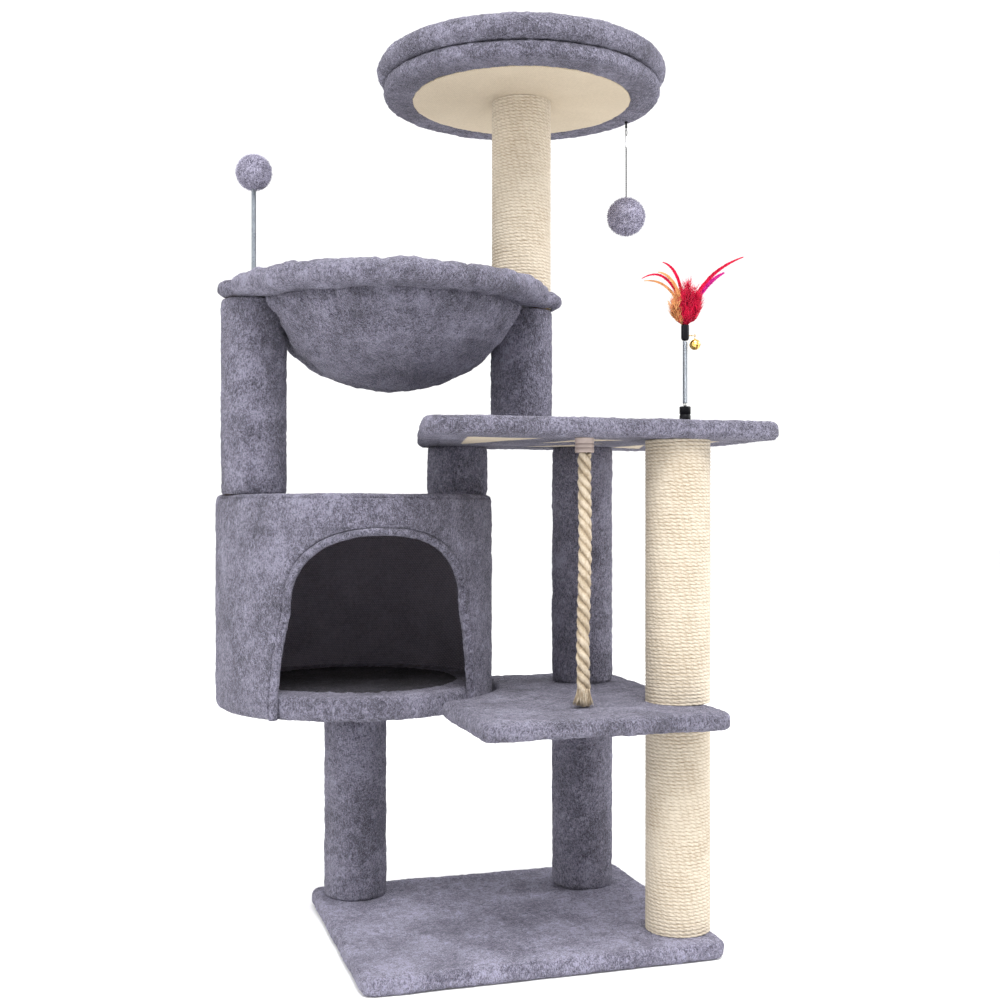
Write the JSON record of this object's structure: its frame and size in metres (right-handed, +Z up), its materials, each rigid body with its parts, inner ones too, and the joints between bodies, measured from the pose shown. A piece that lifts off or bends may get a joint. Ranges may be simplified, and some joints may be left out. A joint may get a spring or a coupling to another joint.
{
  "type": "cat tree",
  "caption": "Plush and sisal cat tree: round condo with arched door, hammock, platforms, round top perch, spring wands, hanging pompom and rope.",
  "frame": {"origin": "centre of the base's underside, on the floor", "axes": "+Z up, +X to the right along the front edge of the base, +Y to the back"},
  "size_m": [0.6685, 0.551, 1.1646],
  "materials": {
    "plush": "matte",
    "pompom": "matte",
    "sisal": "matte",
    "liner": "matte",
    "cardboard": "matte",
    "board": "matte",
    "hoop_steel": "satin",
    "zinc": "satin",
    "spring_steel": "satin",
    "black_plastic": "satin",
    "clear_plastic": "gloss",
    "string": "matte",
    "feather": "matte",
    "gold": "polished",
    "ferrule": "satin",
    "rope": "matte"
  },
  "bodies": {
    "tree": {"base_cover": "plush", "mid_cover": "plush", "upper_cover": "plush", "condo_floor_cover": "plush", "condo_wall_cover": "plush", "condo_door_trim": "plush", "condo_roof_cover": "plush", "hammock_bag": "plush", "perch_band": "plush", "perch_bolster": "plush", "perch_cushion": "plush", "condo_post_sleeve": "plush", "rear_lower_sleeve": "plush", "rear_upper_sleeve": "plush", "hammock_post_sleeve": "plush", "bridge_post_sleeve": "plush", "tower_post_sleeve": "plush", "front_lower_sisal": "sisal", "front_upper_sisal": "sisal", "perch_post_sisal": "sisal", "condo_post_tube": "cardboard", "rear_lower_tube": "cardboard", "rear_upper_tube": "cardboard", "hammock_post_tube": "cardboard", "bridge_post_tube": "cardboard", "tower_post_tube": "cardboard", "front_lower_tube": "cardboard", "front_upper_tube": "cardboard", "perch_post_tube": "cardboard", "condo_wall": "cardboard", "base_board": "board", "mid_board": "board", "upper_board": "board", "condo_floor_board": "board", "condo_roof_board": "board", "perch_board": "board", "base_liner": "liner", "upper_liner": "liner", "perch_liner": "liner", "hammock_hoop": "hoop_steel", "base_bolt_condo": "zinc", "base_bolt_rear": "zinc", "base_bolt_front": "zinc", "wand_socket": "black_plastic", "feather_socket": "black_plastic", "rope_ferrule": "ferrule"},
    "wand_hinge": {"wand_foot": "zinc"},
    "wand": {"wand_spring": "spring_steel", "wand_pompom": "pompom"},
    "string_hinge": {"string_tab": "black_plastic"},
    "string_toy": {"string_crimp": "clear_plastic", "pompom_string": "string", "hanging_pompom": "pompom"},
    "feather_hinge": {"feather_foot": "zinc"},
    "feather_wand": {"feather_spring": "spring_steel", "feather_cap": "black_plastic", "feathers": "feather"},
    "bell_swing": {"bell": "gold"},
    "rope_hinge": {"rope_whipping": "rope"},
    "rope": {"play_rope": "rope"}
  },
  "joints": [
    {"name": "wand_sway_y", "type": "hinge", "parent": "tree", "child": "wand_hinge", "pos_m": [-0.31203, 0.103, 0.8493], "axis": [1, 0, 0], "range_deg": [-40, 40], "stiffness_Nm_per_rad": 0.3},
    {"name": "wand_sway_x", "type": "hinge", "parent": "wand_hinge", "child": "wand", "pos_m": [-0.31203, 0.103, 0.8493], "axis": [0, 1, 0], "range_deg": [-40, 40], "stiffness_Nm_per_rad": 0.3},
    {"name": "string_swing_y", "type": "hinge", "parent": "tree", "child": "string_hinge", "pos_m": [0.21695, 0.11464, 1.10085], "axis": [1, 0, 0], "range_deg": [-55, 55]},
    {"name": "string_swing_x", "type": "hinge", "parent": "string_hinge", "child": "string_toy", "pos_m": [0.21695, 0.11464, 1.10085], "axis": [0, 1, 0], "range_deg": [-55, 45]},
    {"name": "feather_sway_y", "type": "hinge", "parent": "tree", "child": "feather_hinge", "pos_m": [0.198, -0.123, 0.6772], "axis": [1, 0, 0], "range_deg": [-25, 25], "stiffness_Nm_per_rad": 0.4},
    {"name": "feather_sway_x", "type": "hinge", "parent": "feather_hinge", "child": "feather_wand", "pos_m": [0.198, -0.123, 0.6772], "axis": [0, 1, 0], "range_deg": [-25, 25], "stiffness_Nm_per_rad": 0.4},
    {"name": "bell_swing", "type": "hinge", "parent": "feather_wand", "child": "bell_swing", "pos_m": [0.2115, -0.123, 0.76407], "axis": [0, 1, 0], "range_deg": [-40, 8]},
    {"name": "rope_swing_y", "type": "hinge", "parent": "tree", "child": "rope_hinge", "pos_m": [0.055, -0.145, 0.6141], "axis": [1, 0, 0], "range_deg": [-20, 20]},
    {"name": "rope_swing_x", "type": "hinge", "parent": "rope_hinge", "child": "rope", "pos_m": [0.055, -0.145, 0.6141], "axis": [0, 1, 0], "range_deg": [-13, 20]}
  ]
}
